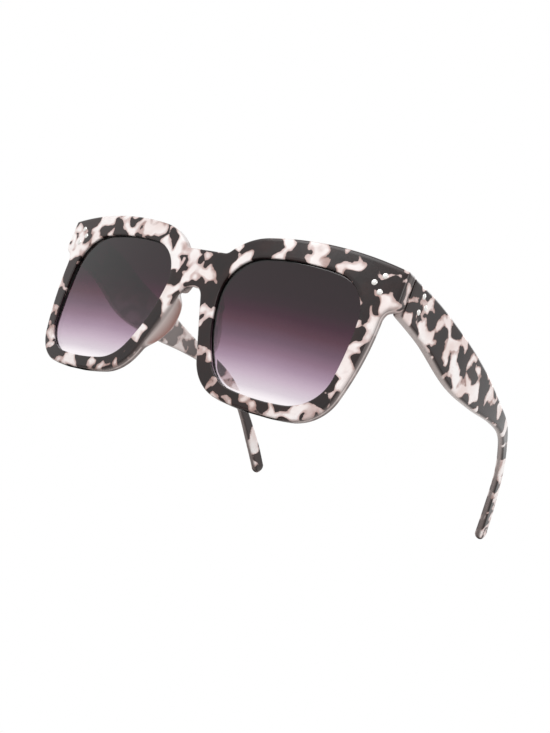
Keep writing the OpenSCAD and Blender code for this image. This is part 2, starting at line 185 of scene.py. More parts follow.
def half_outline():
    """Left half of the front, anticlockwise from the crown of the nose arch to the bridge's middle.

    Circles and lines that touch: arch, nose line, rim corners and sides, end piece and brow.
    """
    shares = [[0.215, -0.237], [0.340, 0.312], [-0.162, 0.102], [-0.119, -0.194]]
    unset = [np.array([RIM_X + a * RIM_W, b * FRONT_H]) for a, b in shares]
    side_r = [k * RIM_W for k in (1.54, 2.1, 1.78, 1.46)]
    low = side_centre(unset, RIM_CORNER_R, side_r, 3)
    lift = math.sqrt(side_r[3] ** 2 - (FOOT_W / 2) ** 2) - low[1]
    corners = [c + [0, lift] for c in unset]
    side, top, _, bottom = [side_centre(corners, RIM_CORNER_R, side_r, i) for i in range(4)]
    brow = corners[2]
    hollow_z = BRIDGE_Z + BROW_HOLLOW_R
    reach = RIM_CORNER_R[2] + BROW_HOLLOW_R
    brow_hollow = np.array([brow[0] - math.sqrt(reach**2 - (hollow_z - brow[1]) ** 2), hollow_z])
    corner = np.array([END_X - END_CORNER_R, FRONT_H - END_DROP])
    hollow = meet(corner, END_CORNER_R + END_HOLLOW_R, side, side_r[0] + END_HOLLOW_R)
    line = corners[3] - ARCH
    lean = direction(ARCH, corners[3]) - math.degrees(
        math.asin((ARCH_R + RIM_CORNER_R[3]) / np.linalg.norm(line))) + 90
    touch = ARCH + ARCH_R * np.array([math.cos(math.radians(lean)), math.sin(math.radians(lean))])
    touch_low = corners[3] + RIM_CORNER_R[3] * np.array(
        [math.cos(math.radians(lean - 180)), math.sin(math.radians(lean - 180))])
    # The end piece's upper corner is softened by a circle that touches its side and the top curve
    tip_x = END_X - END_TIP_R
    tip = np.array([tip_x, top[1] + math.sqrt((side_r[1] - END_TIP_R) ** 2 - (tip_x - top[0]) ** 2)])
    tip_turn = direction(top, tip)
    points = np.concatenate([
        arc(ARCH, ARCH_R, 90, lean),
        straight(touch, touch_low),
        arc(corners[3], RIM_CORNER_R[3], lean + 180, 360 + direction(bottom, corners[3])),
        arc(bottom, side_r[3], direction(bottom, corners[3]), direction(bottom, corners[0])),
        arc(corners[0], RIM_CORNER_R[0], direction(bottom, corners[0]), direction(side, corners[0])),
        arc(side, side_r[0], direction(side, corners[0]), direction(side, hollow)),
        arc(hollow, END_HOLLOW_R, 180 + direction(side, hollow), direction(hollow, corner)),
        arc(corner, END_CORNER_R, direction(corner, hollow), 0),
        straight([END_X, corner[1]], [END_X, tip[1]]),
        arc(tip, END_TIP_R, 0, tip_turn),
        arc(top, side_r[1], tip_turn, direction(top, brow)),
        arc(brow, RIM_CORNER_R[2], direction(top, brow), direction(brow, brow_hollow)),
        arc(brow_hollow, BROW_HOLLOW_R, direction(brow_hollow, brow), -90),
        straight([brow_hollow[0], BRIDGE_Z], [0, BRIDGE_Z]),
        [[0, BRIDGE_Z]]])
    points[:, 1] = np.maximum(points[:, 1], 0)
    return points


def normals_of(points, closed):
    """Outward unit normals of an anticlockwise line, from its neighbours on both sides."""
    if closed:
        step = np.roll(points, -2, 0) - np.roll(points, 2, 0)
    else:
        wide = np.concatenate([points[:1], points[:1], points, points[-1:], points[-1:]])
        step = wide[4:] - wide[:-4]
    step /= np.linalg.norm(step, axis=1)[:, None]
    return np.stack([step[:, 1], -step[:, 0]], -1)


# A point near the middle of the left lens, from which the directions below are counted
MIDDLE = np.array([38.0, 28.0])


class Line:
    """A line of points with outward normals, read at any angle round the lens's middle."""

    def __init__(self, points, closed):
        self.points = points
        self.normals = normals_of(points, closed)
        rel = points - MIDDLE
        self.angle = np.unwrap(np.arctan2(rel[:, 1], rel[:, 0]))
        if closed:
            self.angle = np.concatenate([self.angle + turn for turn in (-2 * np.pi, 0, 2 * np.pi)])
            self.points = np.tile(points, (3, 1))
            self.normals = np.tile(self.normals, (3, 1))

    def read(self, turn, inset=0.0):
        """Points at these angles, moved inwards along the normals."""
        at = [np.interp(turn, self.angle, a) for a in (
            self.points[:, 0], self.points[:, 1], self.normals[:, 0], self.normals[:, 1])]
        n = np.stack(at[2:], -1)
        n /= np.linalg.norm(n, axis=1)[:, None]
        return np.stack(at[:2], -1) - inset * n


opening = Line(lens_loop(), True)
outline = Line(half_outline(), False)


# Meshes


def new_piece(name, verts, face_sets, material, sharp=40.0, marks=None):
    """One object at the origin from points in mm. Edges sharper than an angle stay crisp.
    marks are values kept at each point for the material to read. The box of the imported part
    trims the last few micrometres, where its flat facets fall short of the smooth curves."""
    mesh = bpy.data.meshes.new(name)
    faces = [face for face_set in face_sets for face in np.asarray(face_set).tolist()]
    mesh.from_pydata(np.clip(np.asarray(verts) * MM, *cad_box).tolist(), [], faces)
    for mark, values in (marks or {}).items():
        attribute = mesh.attributes.new(mark, "FLOAT", "POINT")
        attribute.data.foreach_set("value", np.asarray(values, dtype=np.float32))
    bm = bmesh.new()
    bm.from_mesh(mesh)
    bmesh.ops.remove_doubles(bm, verts=bm.verts, dist=MERGE * MM)
    bmesh.ops.dissolve_degenerate(bm, edges=bm.edges, dist=MERGE * MM)
    bmesh.ops.recalc_face_normals(bm, faces=bm.faces)
    bm.to_mesh(mesh)
    bm.free()
    mesh.shade_smooth()
    mesh.set_sharp_from_angle(angle=math.radians(sharp))
    mesh.materials.append(material)
    piece = bpy.data.objects.new(name, mesh)
    bpy.context.scene.collection.objects.link(piece)
    return piece


def grid_faces(rows, columns, close_rows=False, close_columns=False, skip=None):
    """Quads of a grid whose point (row, column) is number row * columns + column."""
    r = np.arange(rows if close_rows else rows - 1)
    c = np.arange(columns if close_columns else columns - 1)
    r, c = np.meshgrid(r, c, indexing="ij")
    if skip is not None:
        keep = ~skip[r, c]
        r, c = r[keep], c[keep]
    row, next_row = r * columns, (r + 1) % rows * columns
    next_c = (c + 1) % columns
    return np.stack([row + c, row + next_c, next_row + next_c, next_row + c], -1).reshape(-1, 4)


def fan(middle, ring):
    """Triangles from one point to a closed ring of points, given by their numbers."""
    return np.stack([np.full(len(ring), middle), ring, np.roll(ring, -1)], -1)


def mirrored(verts, faces):
    """A shape and its mirror image across X = 0, as one."""
    twin = verts * [-1, 1, 1]
    return np.concatenate([verts, twin]), [faces, faces[:, ::-1] + len(verts)]


# The front: rings round each lens opening, carried round a closed section


def ring_angles(n_outline, n_middle):
    """Angles of the columns round the lens, evenly spread along both edges of the rim.

    The first ones run from the arch's crown round to the bridge's middle, the rest down X = 0.
    """
    samples, outline_weight = 6000, 0.75
    start, end = outline.angle[0], outline.angle[-1]
    fine = np.linspace(start, end, samples)
    steps = [np.linalg.norm(np.diff(line.read(fine), axis=0), axis=1) for line in (opening, outline)]
    run = np.concatenate([[0], np.cumsum(np.maximum(steps[0], outline_weight * steps[1]))])
    around = np.interp(np.linspace(0, run[-1], n_outline), run, fine)
    down = np.linspace(end, start + 2 * np.pi, n_middle + 2)[1:-1]
    return around, down


def back_y(x, z):
    """Depth of the back face: the front face moved back by the rim, plus the end block, with a slope
    3.4 mm wide beside it and one 2 mm high below it."""
    rim = face_y(x) + RIM_T
    block_z = TEMPLE_Z - TEMPLE_H / 2
    across = smooth(BLOCK_X - 3.2, BLOCK_X + 0.2, x)
    upwards = smooth(block_z - 0.8, block_z + 1.2, z)
    return rim + (SEAM_Y - LEAF_PROUD - rim) * across * upwards


def pad_rise(x, z, inset):
    """Height of a nose pad: a low parabola up the nose gap that rises and widens towards the lens,
    softened at both ends. inset is the distance in from the rim's outline."""
    climb, widening, softness, sink = 0.55, 0.12, 0.8, 0.06
    middle = LENS_Z - PAD_DROP + climb * inset
    half = PAD_H / 2 + widening * inset
    bow = PAD_REACH * (1 - ((z - middle) / half) ** 2)
    bow = (bow + np.sqrt(bow * bow + softness)) / 2 - sink
    return np.maximum(bow, 0) * (1 - smooth(18, 25, x))


def nose_share(x, z):
    """1 along the sides of the nose gap and its arch. It fades to 0 on the lower rim, 12 to 20 mm
    out, and at the bridge's top, 37 to 39 mm up."""
    return (1 - smooth(12, 20, x)) * (1 - smooth(37, 39, z))


def splay(x, z):
    """How far the back edge of the nose's wall stands back from its front edge: the wall opens
    towards the wearer above the pads, less at the arch's crown."""
    at_crown, beside = 1.5, 2.6
    return (at_crown + (beside - at_crown) * smooth(0, 2.5, x)) * smooth(30, 33.5, z) * nose_share(x, z)


def back_round(x, z):
    """Radius of the back edge: wide along the nose and most of all round the arch, small at the
    end piece's upper corner."""
    along_nose, round_arch, at_corner = 0.3, 1.0, -0.5
    corner = smooth(END_X - 5, END_X - 2, x) * smooth(FRONT_H - 6, FRONT_H - 3, z)
    nose = (along_nose + round_arch * smooth(28, 33, z)) * nose_share(x, z)
    return BACK_EDGE_R + nose + at_corner * corner


def on_pad(rise):
    """1 where a pad stands out by 3 mm or more, fading to 0 at its edges."""
    return smooth(0.3, 3, rise)


def wall_marks(x, z):
    """Tone and wall mark round the outside: a plain grey brown, nearly black under the arch. The
    pattern shows through most on the end pieces, and more on top than below."""
    under_arch, on_end, on_top, least = 0.42, 0.7, 0.35, 0.15
    tone = PLAIN_TONE - under_arch * (1 - smooth(2, 7, x)) * smooth(31, 33, z)
    wall = (PLAIN_WALL + (1 - PLAIN_WALL) * nose_share(x, z)
            - on_end * smooth(END_X - 3, END_X - 1, x) - on_top * smooth(FRONT_H - 14, FRONT_H - 9, z))
    return tone, np.maximum(wall, least)


def front_shell(material):
    """Both rims, bridge, end pieces and pads as one closed shell.

    Point (row, column): the column is an angle round the lens, the row a place round the rim's section.
    The rows run out over the front face, round the outer edge, in over the back and through the groove.
    Two marks go with each point: wall is 1 on sides and pads, where the pattern fades, and tone
    says what colour is left there, from near black at 0 to a pinkish brown at 1. tone also carries
    painted shade in the lens groove and a painted highlight along the outer wall.
    """
    around, down = ring_angles(420, 26)
    turns = np.concatenate([around, down])
    n_edge, n = len(around), len(turns)
    middle = np.arange(n) >= n_edge
    share = np.zeros(n)
    share[n_edge:] = (np.arange(n - n_edge) + 1) / (n - n_edge + 1)
    rows, edge_rows, walls, tones = [], [], [], []
    edge_line = outline.read(around)
    lean, soft = np.zeros(n), np.zeros(n)
    lean[:n_edge] = splay(edge_line[:, 0], edge_line[:, 1])
    soft[:n_edge] = back_round(edge_line[:, 0], edge_line[:, 1])
    wall_tone, wall_mark = np.full(n, PLAIN_TONE), np.full(n, PLAIN_WALL)
    wall_tone[:n_edge], wall_mark[:n_edge] = wall_marks(edge_line[:, 0], edge_line[:, 1])

    def outer(inset):
        """Outline moved inwards; on the middle plane, points spread from the bridge to the arch."""
        inset = np.broadcast_to(inset, n)
        p = np.zeros((n, 2))
        p[:n_edge] = outline.read(around, inset[:n_edge, None])
        p[:n_edge][[0, -1], 0] = 0
        low, high = ARCH[1] + ARCH_R + inset[0], BRIDGE_Z - inset[n_edge - 1]
        p[n_edge:, 1] = high + (low - high) * share[n_edge:]
        return p

    def add(p, y, wall, tone, on_edge=False):
        """One more row of points, with its marks."""
        rows.append(np.stack([p[:, 0], y, p[:, 1]], -1))
        edge_rows.append(on_edge)
        walls.append(np.broadcast_to(wall, n))
        tones.append(np.broadcast_to(tone, n))

    # Front face, from the lens opening's rounded edge to the rim's
    for turn in np.radians(np.linspace(0, 90, 5)):
        p = opening.read(turns, -LIP_R * (1 - math.cos(turn)))
        add(p, face_y(p[:, 0]) + LIP_R * (1 - math.sin(turn)), 0, 0)
    inner = opening.read(turns, -LIP_R)
    edge = outer(FRONT_EDGE_R)
    for v in np.linspace(0, 1, 12)[1:-1]:
        p = inner + v * (edge - inner)
        add(p, face_y(p[:, 0]), 0, PLAIN_TONE)
    for turn in np.radians(np.linspace(90, 0, 6)):
        p = outer(FRONT_EDGE_R * (1 - math.cos(turn)))
        add(p, face_y(p[:, 0]) + FRONT_EDGE_R * (1 - math.sin(turn)),
            0.6 * wall_mark * math.cos(turn) ** 3, wall_tone, True)
    # Wall round the outside and its rounded back edge. A painted highlight runs along the wall's middle,
    # with painted shade towards its front and back edges, except under the arch and on the pads
    wall_front = outer(0)
    wall_back = outer(lean)
    y_front = face_y(wall_front[:, 0]) + FRONT_EDGE_R
    rise = pad_rise(wall_back[:, 0], wall_back[:, 1], lean)
    y_back = back_y(wall_back[:, 0], wall_back[:, 1]) + rise - soft
    for v in np.linspace(0, 1, 8)[1:-1]:
        # Painted highlight and shade: the tone is raised in the wall's middle and lowered near its edges
        painted_highlight_and_shade = (0.3 * math.sin(math.pi * v) ** 2 - 0.15) * (wall_tone > 0.4) * (rise < 0.2)
        tone = wall_tone + painted_highlight_and_shade + 0.5 * v * smooth(0.2, 2, rise)
        add(wall_front + v * (wall_back - wall_front), y_front + v * (y_back - y_front),
            wall_mark, tone, True)
    for turn in np.radians(np.linspace(0, 90, 8)):
        inset = lean + soft * (1 - math.cos(turn))
        p = outer(inset)
        rise = pad_rise(p[:, 0], p[:, 1], inset)
        pad = on_pad(rise)
        add(p, back_y(p[:, 0], p[:, 1]) + rise - soft * (1 - math.sin(turn)),
            np.maximum(pad, wall_mark * math.cos(turn) ** 2), wall_tone + 0.5 * pad, True)
    # Back face with the pads, and the lens opening's edge there
    edge = outer(lean + soft)
    width = np.linalg.norm(edge - inner, axis=1)
    for v in np.linspace(0, 1, 26)[1:-1]:
        p = edge + v * (inner - edge)
        rise = pad_rise(p[:, 0], p[:, 1], lean + soft + v * width) * (1 - smooth(0.7, 1, v))
        pad = on_pad(rise)
        add(p, back_y(p[:, 0], p[:, 1]) + rise, pad, PLAIN_TONE + (0.5 - 0.35 * smooth(0.1, 0.5, v)) * pad)
    for turn in np.radians(np.linspace(90, 0, 5)):
        p = opening.read(turns, -LIP_R * (1 - math.cos(turn)))
        add(p, back_y(p[:, 0], p[:, 1]) - LIP_R * (1 - math.sin(turn)), math.cos(turn) ** 2, 0.6)
    # Groove that holds the lens, coloured near black as painted shade in the recess beside the lens
    groove_back, groove_front, fade_depth = LENS_SET + LENS_T + LENS_GAP, LENS_SET - LENS_GAP, 0.7
    for out, depth, wall in ((0, groove_back, 1), (GROOVE, groove_back, 1),
                             (GROOVE, groove_front, 1), (0, groove_front, 1), (0, fade_depth, 0.6)):
        p = opening.read(turns, -out)
        add(p, face_y(p[:, 0]) + depth, wall, 0)
    # Rows of the outer edge have no faces along the middle plane, where the two halves join
    edge_rows = np.array(edge_rows)
    row_skip = edge_rows & np.roll(edge_rows, -1)
    column_skip = middle | np.roll(middle, -1)
    column_skip[n_edge - 1] = True
    faces = grid_faces(len(rows), n, True, True, skip=row_skip[:, None] & column_skip[None, :])
    marks = {"wall": np.tile(np.ravel(walls), 2), "tone": np.tile(np.ravel(tones), 2)}
    return new_piece("front_shell", *mirrored(np.reshape(rows, (-1, 3)), faces), material, marks=marks)


# Lenses: two curved faces a lens thickness apart


def lens_shell(name, side, material):
    """Point (row, column): the row goes out from the lens's middle over the front face, over the edge
    and back in over the rear face; each face follows the front's curve seen from above."""
    turns = np.linspace(0, 2 * np.pi, 241)[:-1]
    reach = GROOVE - LENS_GAP
    outs, backs = [], []
    for out in np.linspace(0.04, 1, 16)[:-1]:
        outs.append(MIDDLE + out * (opening.read(turns, LENS_EDGE_R - reach) - MIDDLE))
        backs.append(0.0)
    for turn in np.radians(np.linspace(90, 0, 4)):
        outs.append(opening.read(turns, LENS_EDGE_R * (1 - math.cos(turn)) - reach))
        backs.append(LENS_EDGE_R * (1 - math.sin(turn)))
    count = len(outs)
    p = np.array(outs + outs[::-1])
    depth = np.array(backs + [LENS_T - b for b in backs[::-1]])
    y = face_y(p[..., 0]) + LENS_SET + depth[:, None]
    verts = np.stack([p[..., 0], y, p[..., 1]], -1).reshape(-1, 3)
    rows, columns = 2 * count, len(turns)
    faces = grid_faces(rows, columns, False, True)
    ends = [[MIDDLE[0], face_y(MIDDLE[0]) + LENS_SET, MIDDLE[1]],
            [MIDDLE[0], face_y(MIDDLE[0]) + LENS_SET + LENS_T, MIDDLE[1]]]
    first = len(verts)
    ring = np.arange(columns)
    caps = [fan(first, ring), fan(first + 1, (rows - 1) * columns + ring[::-1])]
    verts = np.concatenate([verts, ends]) * [side, 1, 1]
    return new_piece(name, verts, [faces] + caps, material)


# Temples: a rounded bar whose section changes along a smooth line of stations

# Shares of the length, the height of the temple's middle, the blade's height, the bow, the tuck and
# the thickness at each station. The last station is the round tip
STATION_SHARES = [
    [0, 1, 1, 0, 0, 1],
    [0.130, 0.960, 1.14, 0.38, 0, 0.96],
    [0.275, 0.857, 1.32, 1.02, 0, 0.85],
    [0.419, 0.815, 1.09, 1, 0, 0.82],
    [0.564, 0.784, 0.64, 0.59, 0, 0.73],
    [0.672, 0.754, 0.45, 0, 0.034, 0.67],
    [0.769, 0.674, 0.36, 0, 0.292, 0.64],
    [0.852, 0.507, 0.36, 0, 0.524, 0.63],
    [0.935, 0.233, 0.47, 0, 0.827, 0.69]]
STATIONS = np.array(
    [[TEMPLE_Y + s[0] * TEMPLE_L, s[1] * TEMPLE_Z, s[2] * TEMPLE_H,
      END_X + s[3] * TEMPLE_BOW - s[4] * TEMPLE_TUCK, s[5] * TEMPLE_T] for s in STATION_SHARES]
    + [[TEMPLE_Y + TEMPLE_L - TIP_W / 2, TIP_W / 2, TIP_W, END_X - TEMPLE_TUCK, 0.77 * TEMPLE_T]])


def row_at(place):
    """Catmull-Rom curve through the stations, at places counted in stations."""
    place = np.asarray(place, dtype=float)
    last = len(STATIONS) - 1
    i = np.clip(np.floor(place).astype(int), 0, last - 1)
    t = (place - i)[..., None]
    a, b = STATIONS[np.maximum(i - 1, 0)], STATIONS[i]
    c, d = STATIONS[i + 1], STATIONS[np.minimum(i + 2, last)]
    return b + t / 2 * (c - a + t * (2 * a - 5 * b + 4 * c - d + t * (3 * (b - c) + d - a)))


def slope_at(place):
    """Slope of the temple's middle line in radians, flat at the hinge."""
    near = 0.05
    p = row_at(np.maximum(place - near, 0))
    q = row_at(np.minimum(place + near, len(STATIONS) - 1))
    return np.arctan2(q[..., 1] - p[..., 1], q[..., 0] - p[..., 0]) * np.minimum(place, 1)


def temple_rings(y, z, h, x_out, t, slope):
    """Rings of a rounded rectangle h high and t thick, square to the slope, one per row, and two marks
    for each point. wall is 0 on the outer side, 1 below, 0.5 on top, and falls from 0.85 to 0.1 along
    the inner side. tone is pale below and darker at the tip; the darker inner side near the hinge is
    painted shade."""
    h, t = h[:, None], t[:, None]
    corner_share, steps, long_side, short_side = 0.48, 7, 8, 4
    r = np.minimum(TEMPLE_EDGE_R, corner_share * np.minimum(h, t))
    across, up = [], []
    for sx, sz, start, flat in ((1, -1, -90, long_side), (1, 1, 0, short_side),
                                (-1, 1, 90, long_side), (-1, -1, 180, short_side)):
        turn = np.radians(np.linspace(start, start + 90, steps))[None, :]
        cx, cz = sx * (t / 2 - r), sz * (h / 2 - r)
        a, u = cx + r * np.cos(turn), cz + r * np.sin(turn)
        across.append(a)
        up.append(u)
        # Points along the flat to the next corner, which lies across the ring or up it
        share = np.linspace(0, 1, flat + 2)[1:-1][None, :]
        end_a, end_u = (a[:, -1:], -cz) if flat == long_side else (-cx, u[:, -1:])
        across.append(a[:, -1:] + share * (end_a - a[:, -1:]))
        up.append(u[:, -1:] + share * (end_u - u[:, -1:]))
    across, up = np.concatenate(across, 1), np.concatenate(up, 1)
    slope = slope[:, None]
    x = x_out[:, None] - t / 2 + across
    # The inner face is set back, so that the hinge leaf let into it stands clear
    inner = x_out[:, None] - t
    x = np.maximum(x, inner + LEAF_PROUD)
    wall = (1 - 0.5 * (up > h / 2 - r)) * (1 - smooth(0.1, 0.9, (across - t / 2 + r) / r))
    along = (y[:, None] - TEMPLE_Y) / TEMPLE_L
    inward = smooth(0.1, 0.9, (-across - t / 2 + r) / r)
    inner_wall = PLAIN_WALL - 0.45 * smooth(0.35, 0.5, along) - 0.3 * smooth(0.5, 0.75, along)
    wall += (inner_wall - wall) * inward
    tone = 0.62 - 0.07 * smooth(0.45, 0.6, along) - 0.2 * smooth(0.8, 1, along)
    # Painted shade: the inner side is darker from the hinge to about the temple's middle
    tone = tone - 0.25 * (1 - smooth(0.35, 0.5, along)) * inward
    points = np.stack([x, y[:, None] - up * np.sin(slope), z[:, None] + up * np.cos(slope)], -1)
    return points, np.stack([wall, tone], -1)


def temple_shell(name, side, material):
    """Point (row, column): the row is a place along the temple, the column a place round its section.
    A quarter ellipse closes the tip, and a small one rounds the edge at the hinge end."""
    last = len(STATIONS) - 1
    per_station, blunt, least_h = 14, 0.15, 0.05
    place = np.linspace(0, last, last * per_station + 1)
    s = row_at(place)
    slope = slope_at(place)
    rings, marks = temple_rings(s[:, 0], s[:, 1], s[:, 2], s[:, 3], s[:, 4], slope)
    tip, tip_slope = STATIONS[-1], slope[-1]
    turn = np.radians(np.linspace(0, 90, 12))[1:]
    reach = TIP_W / 2 * np.sin(turn)
    thin = blunt + (1 - blunt) * np.cos(turn)
    high = np.maximum(TIP_W * np.cos(turn), least_h)
    end_rings, end_marks = temple_rings(
        tip[0] + reach * math.cos(tip_slope), tip[1] + reach * math.sin(tip_slope), high,
        tip[3] - tip[4] * (1 - thin) / 2, tip[4] * thin, np.full(len(turn), tip_slope))
    # The first rings shrink and step back, to round the edge at the joint with the front
    turn = np.radians([0, 30, 60])[:, None, None]
    rel = rings[0] - rings[0].mean(0)
    trim = np.minimum(np.abs(rel), JOINT_EDGE_R * (1 - np.sin(turn)))
    shrunk = rings[0] - np.sign(rel) * trim * [1, 0, 1]
    step = np.array([0, JOINT_EDGE_R, 0])
    lead = shrunk + step * (1 - np.cos(turn))
    rings = np.concatenate([lead, rings[:1] + step, rings[1:], end_rings])
    marks = np.concatenate([np.repeat(marks[:1], len(lead), 0), marks, end_marks])
    rows, columns = rings.shape[:2]
    first = rows * columns
    ring = np.arange(columns)
    verts = np.concatenate([rings.reshape(-1, 3), [rings[0].mean(0), rings[-1].mean(0)]]) * [side, 1, 1]
    caps = [fan(first, ring[::-1]), fan(first + 1, (rows - 1) * columns + ring)]
    wall, tone = np.concatenate([marks.reshape(-1, 2), marks[0, :1], marks[-1, :1]]).T
    return new_piece(name, verts, [grid_faces(rows, columns, False, True)] + caps, material, sharp=50,
                     marks={"wall": wall, "tone": tone})


# Rivets: pins turned about their axis, with a low domed head


def rivet_group(name, side, places, material):
    """Each pin is a profile turned about its axis: radius r up the shank, which has a small chamfer,
    then the dome r * sin, height * cos. places holds the head's middle, its outward direction and
    the pin's length."""
    turn = np.radians(np.linspace(90, 0, 7))
    columns, chamfer, collar = 40, 0.1, 0.02
    spin = np.linspace(0, 2 * np.pi, columns, endpoint=False)
    verts, faces, count = [], [], 0
    for head, out, length in places:
        head, out = np.array(head), np.array(out, dtype=float)
        out /= np.linalg.norm(out)
        a = np.cross(out, [0, 0, 1.0])
        a /= np.linalg.norm(a)
        b = np.cross(out, a)
        radius = np.concatenate([[0, RIVET_R - chamfer, RIVET_R, RIVET_R], RIVET_R * np.sin(turn)])
        height = np.concatenate([[-length, -length, -length + chamfer, collar],
                                 DOME_H * np.cos(turn) + DOME_PROUD])
        ring = radius[:, None, None] * (np.cos(spin)[:, None] * a + np.sin(spin)[:, None] * b)
        points = head + ring + height[:, None, None] * out
        verts.append(points.reshape(-1, 3) * [side, 1, 1])
        faces.append(grid_faces(len(radius), columns, False, True) + count)
        count += points.shape[0] * columns
    return new_piece(name, np.concatenate(verts), faces, material)


RIVET_PLACES = [[0, -RIVET_SPAN / 2], [RIVET_STEP, 0], [0, RIVET_SPAN / 2]]


def front_rivet_places():
    """Head, direction and length of each pin through the end piece."""
    places = []
    for step, lift in RIVET_PLACES:
        x = END_X - FRONT_RIVET_IN - step
        y = float(face_y(x))
        places.append(([x, y, HINGE_Z + lift], [x / CURVE_R, -1, 0], SEAM_Y - LEAF_T - y))
    return places


def temple_rivet_places():
    """Head, direction and length of each pin through the temple, which lie before its third station."""
    place = np.linspace(0, 2, 60)
    s = row_at(place)
    places = []
    for step, lift in RIVET_PLACES:
        y = TEMPLE_Y + TEMPLE_RIVET_IN + step
        x = float(np.interp(y, s[:, 0], s[:, 3]))
        places.append(([x, y, HINGE_Z + lift], [1, 0, 0], x - (END_X - TEMPLE_T + LEAF_T)))
    return places


def metal_copy(cad_node, name, material):
    """A CAD node's own shape, merged and cleared of flat triangles, with small rounded edges."""
    bm = bmesh.new()
    bm.from_mesh(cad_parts[cad_node].data)
    bmesh.ops.remove_doubles(bm, verts=bm.verts, dist=0.002 * MM)
    bmesh.ops.dissolve_limit(bm, angle_limit=math.radians(0.5), verts=bm.verts, edges=bm.edges)
    mesh = bpy.data.meshes.new(name)
    bm.to_mesh(mesh)
    bm.free()
    mesh.materials.clear()
    mesh.materials.append(material)
    mesh.shade_smooth()
    mesh.set_sharp_from_angle(angle=math.radians(35))
    piece = bpy.data.objects.new(name, mesh)
    bpy.context.scene.collection.objects.link(piece)
    bevel = piece.modifiers.new("rounded_edges", "BEVEL")
    bevel.width = HINGE_EDGE_R * MM
    bevel.segments = 2
    bevel.limit_method = "ANGLE"
    bevel.angle_limit = math.radians(40)
    bevel.harden_normals = False
    return piece


# Materials


def linear(code, alpha=1.0):
    """An sRGB hex value as linear red, green, blue and alpha."""
    parts = [int(code[i:i + 2], 16) / 255 for i in (1, 3, 5)]
    return [c / 12.92 if c <= 0.04045 else ((c + 0.055) / 1.055) ** 2.4 for c in parts] + [alpha]


def node(tree, kind, links=None, values=None, stops=(), **settings):
    """Adds one node. links and values are its inputs' sources and constants, by name or number;
    stops are a colour ramp's (position, hex) pairs; settings are the node's own properties."""
    n = tree.nodes.new(kind)
    for key, value in settings.items():
        setattr(n, key, value)
    for key, value in (values or {}).items():
        n.inputs[key].default_value = value
    for key, source in (links or {}).items():
        tree.links.new(source, n.inputs[key])
    if stops:
        elements = n.color_ramp.elements
        elements.remove(elements[1])
        elements[0].position, elements[0].color = stops[0][0], linear(stops[0][1])
        for position, code in stops[1:]:
            elements.new(position).color = linear(code)
    return n


def new_material(name, **constants):
    """An empty node material with its Principled shader and output."""
    material = bpy.data.materials.new(name)
    material.use_nodes = True
    tree = material.node_tree
    tree.nodes.clear()
    shader = node(tree, "ShaderNodeBsdfPrincipled",
                  values={k.replace("_", " "): v for k, v in constants.items()})
    node(tree, "ShaderNodeOutputMaterial", {0: shader.outputs[0]})
    return material, tree, shader


